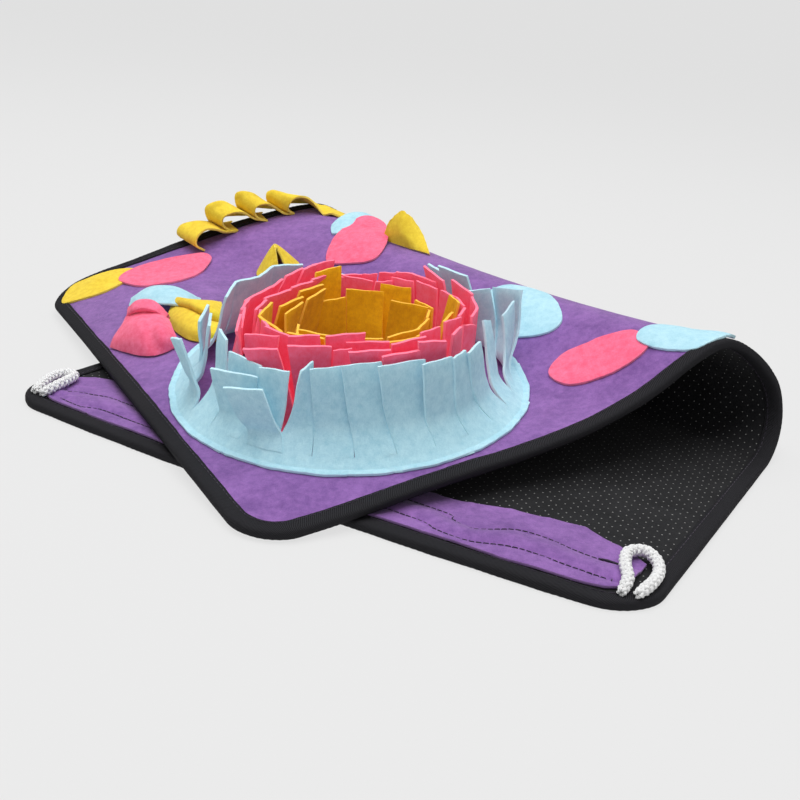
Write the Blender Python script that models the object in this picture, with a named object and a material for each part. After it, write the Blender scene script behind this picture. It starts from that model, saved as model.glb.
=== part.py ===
"""Snuffle mat, folded over on itself and lying on the floor.  Metres, +Z up, the floor at z = 0.

The mat is cut flat as a rounded rectangle.  A point of it is (u, v): u runs from the front long edge
to the back long edge, v from the loose short edge, over the fold, to the edge with the cord casing.
Every piece is laid out in (u, v), and then put on the folded sheet by on_mat().
"""

import math

import bmesh
import bpy
from mathutils import Vector

MM = 0.001
WIDTH, LENGTH, CORNER = 450.0, 740.0, 30.0  # the flat mat, and the radius of its corners
FOLD_AXIS = math.radians(-42.5)  # the way that the fold's crest runs over the floor
SKEW = math.radians(13.6)  # how far the fold is turned from square to the long edges
SLANT = math.tan(SKEW)
# Where the front edge, the middle line and the back edge begin over the floor
STARTS = ((-57.5, -256.8), (-222.6, -96.2), (-372.0, 80.6))
FLOOR_LIFT = 3.4  # from the floor up to the middle of the sheet, where it lies flat
STEP = 5.0
RUN_BEFORE, RUN_AFTER = 10.0, 880.0

# How steeply each line climbs along its way, in degrees; 0 is level and -180 is upside down
FOLD = (
    # station mm, front edge, middle line, back edge
    (0, 3, 15, 10),
    (80, 11, 19, 45),
    (160, 7, 2, 18),
    (220, 13, -7, 20),
    (270, 23, 22, 17),
    (310, 36, 38, 14),
    (340, 23, 19, 10),
    (365, -20, -7, 7),
    (390, -36, -31, -34),
    (415, -48, -68, -93),
    (440, -88, -117, -129),
    (465, -140, -159, -148),
    (490, -179, -179, -163),
    (520, -180, -180, -180),
    (650, -180, -180, -180),
)

# Thickness and height of each layer, measured from the middle of the sheet towards the felt side
FELT = (0.2, 2.2)
LINING = (-1.2, -0.2)
BINDING_THICK, BINDING_GAP = 0.8, 0.5
SHEET_INSET = 0.6  # how far the felt and the lining stop short of the outline, inside the binding
BINDING_FELT_SIDE, BINDING_LINING_SIDE = 9.5, 9.5
ON_FELT = 2.9  # the lowest height of a piece that is sewn on the felt

COLOURS = {
    "purple": (0.26, 0.11, 0.40),
    "black": (0.012, 0.012, 0.014),
    "yellow": (0.80, 0.53, 0.03),
    "pink": (0.88, 0.11, 0.21),
    "blue": (0.40, 0.66, 0.76),
    "white": (0.85, 0.85, 0.85),
}


def read_rows(rows, at, column):
    """The value of a table's column at a place, straight between its rows."""
    if at <= rows[0][0]:
        return rows[0][column]
    for low, high in zip(rows, rows[1:]):
        if at <= high[0]:
            share = (at - low[0]) / (high[0] - low[0])
            return low[column] + share * (high[column] - low[column])
    return rows[-1][column]


def fold_line(start, column):
    """Points every STEP along one line of the fold, its end lying flat on the floor."""
    along = Vector((math.cos(FOLD_AXIS), math.sin(FOLD_AXIS), 0.0))
    across = Vector((-math.sin(FOLD_AXIS), math.cos(FOLD_AXIS), 0.0))
    points = [Vector((0.0, 0.0, 0.0))]
    for k in range(round((RUN_BEFORE + RUN_AFTER) / STEP)):
        slope = math.radians(read_rows(FOLD, (k + 0.5) * STEP - RUN_BEFORE, column))
        way = math.cos(slope) * across + math.sin(slope) * Vector((0.0, 0.0, 1.0))
        way = math.cos(SKEW) * way + math.sin(SKEW) * along
        points.append(points[-1] + way * STEP)
    shift = Vector((start[0], start[1], 0.0)) - points[round(RUN_BEFORE / STEP)]
    shift.z = FLOOR_LIFT - points[-1].z
    return [point + shift for point in points]


FOLD_LINES = [fold_line(start, column + 1) for column, start in enumerate(STARTS)]


def middle(u, v):
    """The middle of the sheet, curved smoothly from the front line over the middle line to the back."""
    at = (v + u * SLANT + RUN_BEFORE) / STEP
    k = min(max(int(at), 0), len(FOLD_LINES[0]) - 2)
    front, centre, back = [line[k].lerp(line[k + 1], at - k) for line in FOLD_LINES]
    share = u / WIDTH
    return (
        front * (1 - share) * (1 - 2 * share)
        + centre * 4 * share * (1 - share)
        + back * share * (2 * share - 1)
    )


def on_mat(u, v, height=0.0):
    """Where the flat point (u, v) lies on the folded mat, at a height over its felt side."""
    point = middle(u, v)
    if height:
        over = middle(u, v + 3) - middle(u, v - 3)
        back = middle(u + 2, v) - middle(u - 2, v)
        point = point + over.cross(back).normalized() * height
    return point


def outside(u, v):
    """How far a flat point is outside the rounded outline, negative within it."""
    du = abs(u - WIDTH / 2) - (WIDTH / 2 - CORNER)
    dv = abs(v - LENGTH / 2) - (LENGTH / 2 - CORNER)
    return math.hypot(max(du, 0), max(dv, 0)) + min(max(du, dv), 0) - CORNER


def ruling(station):
    """The two flat u values at which the straight line of the fold at a station leaves the mat."""
    def gap(u):
        return outside(u, station - u * SLANT) + SHEET_INSET

    low, high = -20.0, WIDTH + 20.0
    for _ in range(60):
        a, b = low + (high - low) / 3, high - (high - low) / 3
        low, high = (low, b) if gap(a) < gap(b) else (a, high)
    inner = (low + high) / 2
    ends = []
    for out in (-20.0, WIDTH + 20.0):
        near, far = inner, out
        for _ in range(40):
            half = (near + far) / 2
            near, far = (half, far) if gap(half) < 0 else (near, half)
        ends.append(near)
    return ends


def stations():
    """The stations at which the sheets are folded: close at the corners and round the loop."""
    reach = WIDTH * SLANT
    first = CORNER * (1 + SLANT - 1 / math.cos(SKEW))
    found = [first + step for step in (0.2, 2, 5, 9, 14, 20, 27, 38, 52, 68, 84)]
    found += [reach + step for step in (-6, 0, 6, 13, 20, 28, 38, 50)]
    found += [reach + 50 + 18 * k for k in range(1, 9)]
    found += [310 + 12 * k for k in range(4)] + [355 + 7.5 * k for k in range(23)]
    found += [535, 555, 580, 610, 640, 670]
    total = LENGTH + reach
    found += [total - station for station in found[:19]]
    return sorted(found)


STATIONS = stations()


def material(name, colour):
    made = bpy.data.materials.new(name)
    made.use_nodes = True
    shader = made.node_tree.nodes["Principled BSDF"]
    shader.inputs["Base Color"].default_value = (*COLOURS[colour], 1.0)
    shader.inputs["Roughness"].default_value = 0.9
    made.diffuse_color = (*COLOURS[colour], 1.0)
    return made


def add_piece(name, colour, points, faces):
    """A closed piece from points in millimetres, its faces turned outwards."""
    mesh = bpy.data.meshes.new(name)
    mesh.from_pydata([point * MM for point in points], [], faces)
    work = bmesh.new()
    work.from_mesh(mesh)
    bmesh.ops.recalc_face_normals(work, faces=work.faces)
    if work.calc_volume(signed=True) < 0:
        bmesh.ops.reverse_faces(work, faces=work.faces)
    bmesh.ops.triangulate(work, faces=work.faces)
    work.to_mesh(mesh)
    work.free()
    piece = bpy.data.objects.new(name, mesh)
    bpy.context.scene.collection.objects.link(piece)
    mesh.materials.append(material(name, colour))
    return piece


def sheet_piece(name, colour, cells, place, around=0):
    """A closed sheet over the cells (i, j), where place(i, j, side) gives its two faces.

    around is the number of columns when the cells close up into a ring.
    """
    cells = set(cells)
    index, points, faces = {}, [], []

    def corner(i, j, side):
        key = (i % around if around else i, j, side)
        if key not in index:
            index[key] = len(points)
            points.append(place(*key))
        return index[key]

    for i, j in sorted(cells):
        ring = [(i, j), (i + 1, j), (i + 1, j + 1), (i, j + 1)]
        faces.append([corner(*c, 1) for c in ring])
        faces.append([corner(*c, 0) for c in reversed(ring)])
        beside = [(i, j - 1), (i + 1, j), (i, j + 1), (i - 1, j)]
        for k, (ni, nj) in enumerate(beside):
            if (ni % around if around else ni, nj) in cells:
                continue
            a, b = ring[k], ring[(k + 1) % 4]
            faces.append([corner(*a, 0), corner(*b, 0), corner(*b, 1), corner(*a, 1)])
    return add_piece(name, colour, points, faces)


def thick(middle_at, thickness, i, j, side, step=0.05):
    """One face of a sheet of some thickness about a surface middle_at(i, j)."""
    a = middle_at(i + step, j) - middle_at(i - step, j)
    b = middle_at(i, j + step) - middle_at(i, j - step)
    normal = a.cross(b).normalized()
    return middle_at(i, j) + normal * (thickness / 2 if side else -thickness / 2)


# ---- the layered mat

ACROSS = (0.0, 0.04, 0.22, 0.41, 0.59, 0.78, 0.96, 1.0)  # shares of the way along each ruling


def mat_layer(name, colour, layer):
    ends = [ruling(station) for station in STATIONS]

    def place(i, j, side):
        low, high = ends[i]
        u = low + (high - low) * ACROSS[j]
        return on_mat(u, STATIONS[i] - u * SLANT, layer[side])

    cells = [(i, j) for i in range(len(STATIONS) - 1) for j in range(len(ACROSS) - 1)]
    return sheet_piece(name, colour, cells, place)


def outline_stops():
    """Places round the outline as (u, v, inward u, inward v), the long edges cut along the fold."""
    stops = []

    low, high = CORNER - 1, LENGTH - CORNER + 1
    front = [s for s in STATIONS if low < s < high]
    back = [s - WIDTH * SLANT for s in STATIONS if low < s - WIDTH * SLANT < high]
    across = [CORNER + (WIDTH - 2 * CORNER) * k / 16 for k in range(17)]
    stops += [(0.0, v, 1.0, -SLANT) for v in front]
    stops += corner_stops(CORNER, LENGTH - CORNER, 180, 90)
    stops += [(u, LENGTH, 0.0, -1.0) for u in across]
    stops += corner_stops(WIDTH - CORNER, LENGTH - CORNER, 90, 0)
    stops += [(WIDTH, v, -1.0, SLANT) for v in reversed(back)]
    stops += corner_stops(WIDTH - CORNER, CORNER, 0, -90)
    stops += [(u, 0.0, 0.0, 1.0) for u in reversed(across)]
    stops += corner_stops(CORNER, CORNER, -90, -180)
    return stops


def corner_stops(cu, cv, from_deg, to_deg):
    """Five places round a corner, from one angle to another, without its two ends."""
    found = []
    for k in range(1, 6):
        angle = math.radians(from_deg + (to_deg - from_deg) * k / 6)
        cos, sin = math.cos(angle), math.sin(angle)
        found.append((cu + CORNER * cos, cv + CORNER * sin, -cos, -sin))
    return found


def binding():
    """The folded tape round the edge, one U-shaped section carried all the way round."""
    top = FELT[1] + BINDING_GAP
    low = LINING[0] - BINDING_GAP
    out = BINDING_GAP + BINDING_THICK
    section = (
        # inset from the outline, height
        (BINDING_FELT_SIDE, top),
        (BINDING_FELT_SIDE, top + BINDING_THICK),
        (-out * 0.4, top + BINDING_THICK),
        (-out, top),
        (-out, low),
        (-out * 0.4, low - BINDING_THICK),
        (BINDING_LINING_SIDE, low - BINDING_THICK),
        (BINDING_LINING_SIDE, low),
        (-BINDING_GAP, low),
        (-BINDING_GAP, top),
    )
    stops = outline_stops()
    points = [
        on_mat(u + inset * du, v + inset * dv, height)
        for u, v, du, dv in stops
        for inset, height in section
    ]
    n, m = len(stops), len(section)
    faces = [
        [i * m + k, i * m + (k + 1) % m, (i + 1) % n * m + (k + 1) % m, (i + 1) % n * m + k]
        for i in range(n)
        for k in range(m)
    ]
    return add_piece("edge_binding", "black", points, faces)


# ---- the cord casing, on the lining side of the far short edge

CASING = (
    # u, inner edge v, outer edge v
    (16, 690, 716),
    (26, 682, 727),
    (40, 676, 729),
    (60, 668, 729),
    (100, 671, 729),
    (140, 683, 729),
    (230, 680, 729),
    (330, 677, 729),
    (418, 676, 729),
    (436, 690, 718),
)
CASING_ROWS = (
    # share of the way across, rise over the lining
    (0.0, 0.0),
    (0.3, 0.2),
    (0.5, 1.0),
    (0.68, 0.2),
    (1.0, 0.0),
)
CASING_THICK = 1.6


def casing():
    columns = 28

    def place(i, j, side):
        u = CASING[0][0] + (CASING[-1][0] - CASING[0][0]) * i / columns
        inner, outer = read_rows(CASING, u, 1), read_rows(CASING, u, 2)
        share, rise = CASING_ROWS[j]
        height = LINING[0] - 0.5 - rise - (0 if side else CASING_THICK)
        return on_mat(u, inner + (outer - inner) * share, height)

    cells = [(i, j) for i in range(columns) for j in range(len(CASING_ROWS) - 1)]
    return sheet_piece("cord_casing", "purple", cells, place)


LOOP_NEAR = (
    # u, v, height over the floor of the cord's middle
    (14.0, 732, 9.2),
    (17.0, 718, 10.4),
    (24.0, 704, 11.4),
    (26.5, 691, 11.4),
    (20.0, 684, 11.2),
    (12.0, 689, 10.4),
    (7.0, 700, 9.6),
    (6.0, 714, 9.4),
    (7.5, 726, 9.2),
)
LOOP_FAR = (
    (434.0, 731, 9.2),
    (439.0, 717, 10.6),
    (442.0, 706, 11.0),
    (438.5, 697, 11.4),
    (431.5, 697, 11.4),
    (428.0, 706, 11.4),
    (426.0, 716, 11.4),
    (427.0, 732, 9.3),
)
ROPE_RADIUS = 3.0


def smooth_path(rows, per_row):
    """A rounded line through rows of (x, y, z), with no loop at its ends."""
    points = [Vector(row) for row in rows]
    padded = [points[0] * 2 - points[1], *points, points[-1] * 2 - points[-2]]
    found = []
    for k in range(1, len(padded) - 2):
        p0, p1, p2, p3 = padded[k - 1 : k + 3]
        for step in range(per_row):
            t = step / per_row
            found.append(
                0.5
                * (2 * p1 + (p2 - p0) * t + (2 * p0 - 5 * p1 + 4 * p2 - p3) * t * t
                   + (3 * p1 - p0 - 3 * p2 + p3) * t**3)
            )
    return [*found, points[-1]]


def rope(name, rows, per_row=4, sides=6):
    """A laid rope: a round tube with three raised strands twisting along it."""
    flat = smooth_path(rows, per_row)
    path = []
    for row in flat:
        ground = middle(row.x, row.y)
        path.append(Vector((ground.x, ground.y, row.z)))
    points, faces = [], []
    run = 0.0
    for k, point in enumerate(path):
        way = (path[min(k + 1, len(path) - 1)] - path[max(k - 1, 0)]).normalized()
        run += (point - path[k - 1]).length if k else 0.0
        side = way.cross(Vector((0, 0, 1))).normalized()
        up = side.cross(way)
        for n in range(sides):
            angle = math.tau * n / sides
            radius = ROPE_RADIUS * (0.9 + 0.12 * math.cos(3 * (angle - run / 3.6)))
            points.append(point + radius * (math.cos(angle) * side + math.sin(angle) * up))
    for k in range(len(path) - 1):
        for n in range(sides):
            a, b = k * sides + n, k * sides + (n + 1) % sides
            faces.append([a, b, b + sides, a + sides])
    faces += [list(range(sides))[::-1], [len(points) - sides + n for n in range(sides)]]
    return add_piece(name, "white", points, faces)


# ---- the flower: rings of standing flaps, each cut from one strip that is sewn down at its foot

FLOWER = (136.5, 136.5)
BENT_TOWARDS = math.radians(45.0)  # the side of the flower where the flaps are bent inwards
FLAP_THICK = 2.0

RINGS = {
    # profile rows: radius and height where a flap stands up, then where it is bent inwards
    # slit: the row that the flaps are cut down to; sway: how far neighbours lean apart
    "ring_blue": dict(
        colour="blue", flaps=28, slit=2, gap=1.6, sway=3.0,
        profile=(
            (123.0, 0.0, 123.0, 0.0),
            (114.0, 0.0, 114.0, 0.0),
            (109.0, 3.0, 109.0, 3.0),
            (102.5, 13.0, 104.5, 11.0),
            (99.0, 28.0, 99.0, 22.0),
            (97.0, 44.0, 94.0, 34.0),
            (96.0, 59.0, 89.0, 45.0),
        ),
    ),
    "ring_pink_outer": dict(
        colour="pink", flaps=26, slit=2, gap=1.6, sway=1.4,
        profile=(
            (90.0, 0.0, 90.0, 0.0),
            (84.0, 0.4, 84.0, 0.4),
            (82.0, 5.0, 82.0, 5.0),
            (82.0, 25.0, 79.5, 22.0),
            (82.5, 46.0, 77.0, 38.0),
            (83.0, 67.0, 75.0, 54.0),
        ),
    ),
    "ring_pink_inner": dict(
        colour="pink", flaps=23, slit=2, gap=1.6, sway=1.4,
        profile=(
            (78.0, 0.0, 78.0, 0.0),
            (72.0, 0.4, 72.0, 0.4),
            (70.0, 5.0, 70.0, 5.0),
            (70.0, 25.0, 68.0, 22.0),
            (70.5, 46.0, 66.5, 37.0),
            (71.0, 66.0, 65.0, 52.0),
        ),
    ),
    "ring_yellow_outer": dict(
        colour="yellow", flaps=14, slit=2, gap=1.6, sway=1.4,
        profile=(
            (66.5, 0.0, 66.5, 0.0),
            (60.5, 0.4, 60.5, 0.4),
            (58.5, 5.0, 58.5, 5.0),
            (58.5, 24.0, 57.0, 20.0),
            (59.0, 44.0, 56.0, 35.0),
            (59.5, 64.0, 55.0, 50.0),
        ),
    ),
    "ring_yellow_inner": dict(
        colour="yellow", flaps=11, slit=2, gap=1.8, sway=1.6,
        profile=(
            (55.0, 0.0, 55.0, 0.0),
            (49.0, 0.4, 49.0, 0.4),
            (47.0, 5.0, 47.0, 5.0),
            (46.5, 20.0, 46.0, 18.0),
            (46.0, 36.0, 45.0, 31.0),
            (46.0, 52.0, 44.0, 45.0),
        ),
    ),
}


def flap_ring(name, colour, flaps, slit, gap, sway, profile):
    """A strip sewn down in a circle, slit into flaps that are bent up from its inner side."""
    rows = len(profile) - 1
    share = gap / (profile[slit][0] * math.tau / flaps)

    def middle_at(i, j):
        flap, part = divmod(i, 2)
        angle = math.tau * (flap + part * (1 - share)) / flaps
        bend = max(math.cos(angle - BENT_TOWARDS), 0.0) ** 1.5
        low = min(max(int(j), 0), rows - 1)
        first, second, t = profile[low], profile[low + 1], j - low
        upright = [a + (b - a) * t for a, b in zip(first[:2], second[:2])]
        bent = [a + (b - a) * t for a, b in zip(first[2:], second[2:])]
        radius, height = [a + (b - a) * bend for a, b in zip(upright, bent)]
        if j > slit:
            rise = (j - slit) / (rows - slit)
            radius += rise * sway * math.sin(flap * 2.4 + 0.7)
            height *= 1 + 0.04 * rise * math.sin(flap * 1.9)
        u = FLOWER[0] + radius * math.cos(angle)
        v = FLOWER[1] + radius * math.sin(angle)
        return on_mat(u, v, ON_FELT + 0.4 + FLAP_THICK / 2 + height)

    def place(i, j, side):
        flap = i // 2
        along = middle_at(2 * flap + 1, j) - middle_at(2 * flap, j)
        up = middle_at(i, min(j + 0.1, rows)) - middle_at(i, max(j - 0.1, 0))
        if j == slit:
            up = middle_at(i, j) - middle_at(i, j - 0.1)
        normal = along.cross(up).normalized()
        return middle_at(i, j) + normal * (FLAP_THICK / 2 if side else -FLAP_THICK / 2)

    cells = [(i, j) for i in range(2 * flaps) for j in range(rows) if j < slit or i % 2 == 0]
    return sheet_piece(name, colour, cells, place, around=2 * flaps)


# ---- felt shapes that are sewn on the face

LEAVES = (
    # name, colour, centre u and v, turn of its length from the u axis in degrees
    # half length, half width, height of its dome, place of the dome's top from -1 to 1
    # lift of its near end, lift of its far end, lift of all of it
    ("tongue_yellow", "yellow", 421, 41, 84, 35, 19, 5, -0.3, 0, 0, 1.2),
    ("oval_pink_back", "pink", 405, 96, 93, 40, 25, 0, 0, 8, 0, 1.0),
    ("petal_blue_left", "blue", 334, 68, 113, 30, 18, 12, 0, 0, 0, 0),
    ("pocket_pink", "pink", 271, 36, 30, 29, 25, 18, 0.5, 0, 5, 0),
    ("pocket_yellow", "yellow", 275, 78, 188, 25, 15, 12, -0.4, 6, 0, 0),
    ("petal_blue_back", "blue", 384, 262, 60, 28, 14, 2, 0, 0, 0, 0),
    ("petal_pink_back", "pink", 335, 254, 55, 38, 23, 5, 0.2, 0, 6, 0),
    ("petal_blue_right", "blue", 146, 292, 8, 42, 26, 0, 0, 0, 0, 0.6),
    ("oval_pink_right", "pink", 56, 289, 97, 37, 21, 0, 0, 0, 0, 0.6),
    ("oval_blue_crest", "blue", 33, 341, 113, 31, 17, 0, 0, 3.4, 0, 0.6),
)
LEAF_THICK = 1.6


def leaf(name, colour, cu, cv, turn, half_length, half_width, dome, peak, near, far, base):
    """A leaf-shaped felt piece, flat or puffed up to a dome, its ends lifted or not."""
    turn = math.radians(turn)
    columns, rows = 10, 4

    def middle_at(i, j):
        t = math.sin((i / columns - 0.5) * math.pi * 0.96)
        s = j / rows * 2 - 1
        wide = half_width * math.sqrt(max(1 - t * t, 0.0))
        a, b = t * half_length, s * wide
        along = max(1 - ((t - peak) / (1 + abs(peak))) ** 2, 0.0)
        rise = dome * (1 - s * s) * along + near * max(-t, 0) ** 1.5 + far * max(t, 0) ** 1.5
        u = cu + a * math.cos(turn) - b * math.sin(turn)
        v = cv + a * math.sin(turn) + b * math.cos(turn)
        return on_mat(u, v, ON_FELT + LEAF_THICK / 2 + base + rise)

    def place(i, j, side):
        return thick(middle_at, LEAF_THICK, i, j, side)

    cells = [(i, j) for i in range(columns) for j in range(rows)]
    return sheet_piece(name, colour, cells, place)


CONES = (
    # name, colour, foot's centre u and v, way that its open side faces, foot radius, height, lean
    ("fold_yellow_middle", "yellow", 352, 183, 200, 18, 22, 0),
    ("fold_yellow_back", "yellow", 299, 281, 200, 20, 31, 0),
)


def cone(name, colour, cu, cv, facing, radius, height, lean, opening=105):
    """A square of felt rolled to a standing cone, its open side turned to one way."""
    facing = math.radians(facing)
    columns, rows = 9, 4

    def middle_at(i, j):
        angle = facing + math.pi + math.radians(opening) * (i / columns * 2 - 1)
        t = j / rows
        wide = radius * (1 - 0.93 * t)
        u = cu + wide * math.cos(angle) + lean * t * math.cos(facing)
        v = cv + wide * math.sin(angle) + lean * t * math.sin(facing)
        return on_mat(u, v, ON_FELT + 0.4 + height * t)

    def place(i, j, side):
        return thick(middle_at, LEAF_THICK, i, j, side)

    cells = [(i, j) for i in range(columns) for j in range(rows)]
    return sheet_piece(name, colour, cells, place)


FRILL_LINE = (
    # share along the frill, u, v of its middle
    (0.0, 433, 138),
    (0.25, 436, 170),
    (0.5, 436, 202),
    (0.75, 436, 230),
    (1.0, 428, 262),
)
FRILL_WAVES, FRILL_HIGH, FRILL_WIDE, FRILL_LEAN = 4, 17.0, 25.0, 21.0


def frill():
    """One ribbon of felt, tacked down between five standing waves that lean one way."""
    columns, rows = FRILL_WAVES * 8, 2

    def middle_at(i, j):
        t = i / columns
        wave = abs(math.sin(math.pi * t * FRILL_WAVES)) ** 1.4
        share = min(max(t, 0.0), 1.0)
        u, v = read_rows(FRILL_LINE, share, 1), read_rows(FRILL_LINE, share, 2)
        v -= FRILL_LEAN * wave
        u += (j / rows - 0.5) * FRILL_WIDE
        return on_mat(u, v, ON_FELT + 1.4 + FRILL_HIGH * wave)

    def place(i, j, side):
        return thick(middle_at, LEAF_THICK, i, j, side, 0.3)

    cells = [(i, j) for i in range(columns) for j in range(rows)]
    return sheet_piece("frill_yellow", "yellow", cells, place)


def main():
    for item in list(bpy.data.objects):
        bpy.data.objects.remove(item)
    mat_layer("felt_face", "purple", FELT)
    mat_layer("lining", "black", LINING)
    binding()
    casing()
    rope("rope_loop_near", LOOP_NEAR)
    rope("rope_loop_far", LOOP_FAR)
    for name, ring in RINGS.items():
        flap_ring(name, **ring)
    for row in LEAVES:
        leaf(*row)
    for row in CONES:
        cone(*row)
    frill()


main()
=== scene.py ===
"""Looks of the folded snuffle mat: felt, tape, cord and stitches, laid out flat and put on its fold.

Flat sizes and heights are in millimetres, and a mesh is written in metres.  A flat point is (u, v): u
runs from the front long edge to the back long edge, v from the loose short edge, over the fold, to
the short edge with the cord casing.  A height is over the middle of the cloth, positive on the felt
side.
"""

import logging
import math
import random
from collections.abc import Callable, Sequence
from dataclasses import dataclass, field
from enum import Enum

import bmesh
import bpy
import numpy as np
from mathutils import Matrix, Vector


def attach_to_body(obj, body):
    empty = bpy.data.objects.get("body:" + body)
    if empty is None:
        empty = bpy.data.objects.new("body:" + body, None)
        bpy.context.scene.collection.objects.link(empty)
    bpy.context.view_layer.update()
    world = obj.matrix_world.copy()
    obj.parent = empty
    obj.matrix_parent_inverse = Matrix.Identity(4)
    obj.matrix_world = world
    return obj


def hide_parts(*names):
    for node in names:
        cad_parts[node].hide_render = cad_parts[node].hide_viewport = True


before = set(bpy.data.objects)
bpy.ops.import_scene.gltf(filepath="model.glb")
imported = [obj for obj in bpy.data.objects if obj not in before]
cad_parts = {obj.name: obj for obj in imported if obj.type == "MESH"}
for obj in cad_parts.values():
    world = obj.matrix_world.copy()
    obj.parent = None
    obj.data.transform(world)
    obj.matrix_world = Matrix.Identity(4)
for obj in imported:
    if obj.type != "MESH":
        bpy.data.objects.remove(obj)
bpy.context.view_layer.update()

MM = 0.001
BODY = "root"
Array = np.ndarray
Colour = tuple[float, float, float]
log = logging.getLogger("snuffle_mat")


# ---- shader maths


def operator(operation: str, swapped: bool = False) -> Callable[["Value", "Value | float"], "Value"]:
    """A method that puts a value and another one through a Math node.

    Args:
        operation: the Math node's operation.
        swapped: whether the other one comes first.

    Returns:
        The method.
    """

    def method(self: "Value", other: "Value | float") -> "Value":
        pair = (other, self) if swapped else (self, other)
        return self.tree.value("ShaderNodeMath", {"operation": operation}, {0: pair[0], 1: pair[1]})

    return method


class Value:
    """A number that varies over a surface, with the usual operators."""

    def __init__(self, tree: "Tree", socket: bpy.types.NodeSocket) -> None:
        """Wraps a node's output socket."""
        self.tree = tree
        self.socket = socket

    __add__ = operator("ADD")
    __radd__ = operator("ADD", swapped=True)
    __sub__ = operator("SUBTRACT")
    __rsub__ = operator("SUBTRACT", swapped=True)
    __mul__ = operator("MULTIPLY")
    __rmul__ = operator("MULTIPLY", swapped=True)

    def sine(self) -> "Value":
        """The sine of the value, in radians."""
        return self.tree.value("ShaderNodeMath", {"operation": "SINE"}, {0: self})

    def ramp(self, low: float, high: float) -> "Value":
        """0 below low, 1 above high and a smooth step between them."""
        spread = {"From Min": low, "From Max": high}
        return self.tree.value(
            "ShaderNodeMapRange", {"interpolation_type": "SMOOTHSTEP"}, {"Value": self, **spread}
        )


class Tree:
    """A material's node tree, built node by node."""

    def __init__(self, name: str) -> None:
        """Starts a material that holds a Principled shader and its output."""
        self.material = bpy.data.materials.new(name)
        self.material.use_nodes = True
        self.nodes = self.material.node_tree.nodes
        self.links = self.material.node_tree.links
        self.shader = self.nodes["Principled BSDF"]

    def node(self, kind: str, settings: dict, inputs: dict) -> bpy.types.Node:
        """Adds one node.

        Args:
            kind: the node's type.
            settings: its own settings, set before its inputs.
            inputs: a value, link or number for each socket, by name or index.

        Returns:
            The node.
        """
        made = self.nodes.new(kind)
        for name, setting in settings.items():
            setattr(made, name, setting)
        for key, given in inputs.items():
            self.feed(made.inputs[key], given)
        return made

    def feed(self, socket: bpy.types.NodeSocket, given: object) -> None:
        """Links a value or a socket to an input, or sets a number on it."""
        if isinstance(given, Value):
            given = given.socket
        if isinstance(given, bpy.types.NodeSocket):
            self.links.new(given, socket)
        elif isinstance(given, tuple) and socket.type == "RGBA":
            socket.default_value = (*given, 1.0)
        else:
            socket.default_value = given

    def value(self, kind: str, settings: dict, inputs: dict, output: int | str = 0) -> Value:
        """The output of a new node as a value."""
        return Value(self, self.node(kind, settings, inputs).outputs[output])

    def place(self, stretch: Sequence[float] = (1, 1, 1), turn: float = 0.0) -> bpy.types.NodeSocket:
        """Object coordinates in metres, turned about Z and stretched."""
        coordinates = self.node("ShaderNodeTexCoord", {}, {}).outputs["Object"]
        inputs = {"Vector": coordinates, "Rotation": (0.3 * turn, 0.5 * turn, turn), "Scale": stretch}
        return self.node("ShaderNodeMapping", {}, inputs).outputs[0]

    def noise(self, where: bpy.types.NodeSocket, scale: float, detail: float = 3.0,
              distortion: float = 0.0) -> Value:
        """Noise about 0.5, with scale features in each metre."""
        inputs = {"Vector": where, "Scale": scale, "Detail": detail, "Roughness": 0.6}
        return self.value("ShaderNodeTexNoise", {}, {**inputs, "Distortion": distortion})

    def mix(self, share: Value, low: object, high: object) -> bpy.types.NodeSocket:
        """A colour between two, by a share."""
        made = self.node("ShaderNodeMix", {"data_type": "RGBA"}, {"Factor": share})
        self.feed(made.inputs[6], low)
        self.feed(made.inputs[7], high)
        return made.outputs[2]

    def bump(self, height: Value, depth_mm: float, strength: float = 1.0) -> None:
        """Feeds a relief of some depth into the shader's normal."""
        inputs = {"Height": height, "Distance": depth_mm * MM, "Strength": strength}
        self.feed(self.shader.inputs["Normal"], self.node("ShaderNodeBump", {}, inputs).outputs[0])

    def set(self, **inputs: object) -> None:
        """Sets or links the shader's sockets, with _ for a space in each name."""
        for name, given in inputs.items():
            self.feed(self.shader.inputs[name.replace("_", " ")], given)


# ---- finishes


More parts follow.
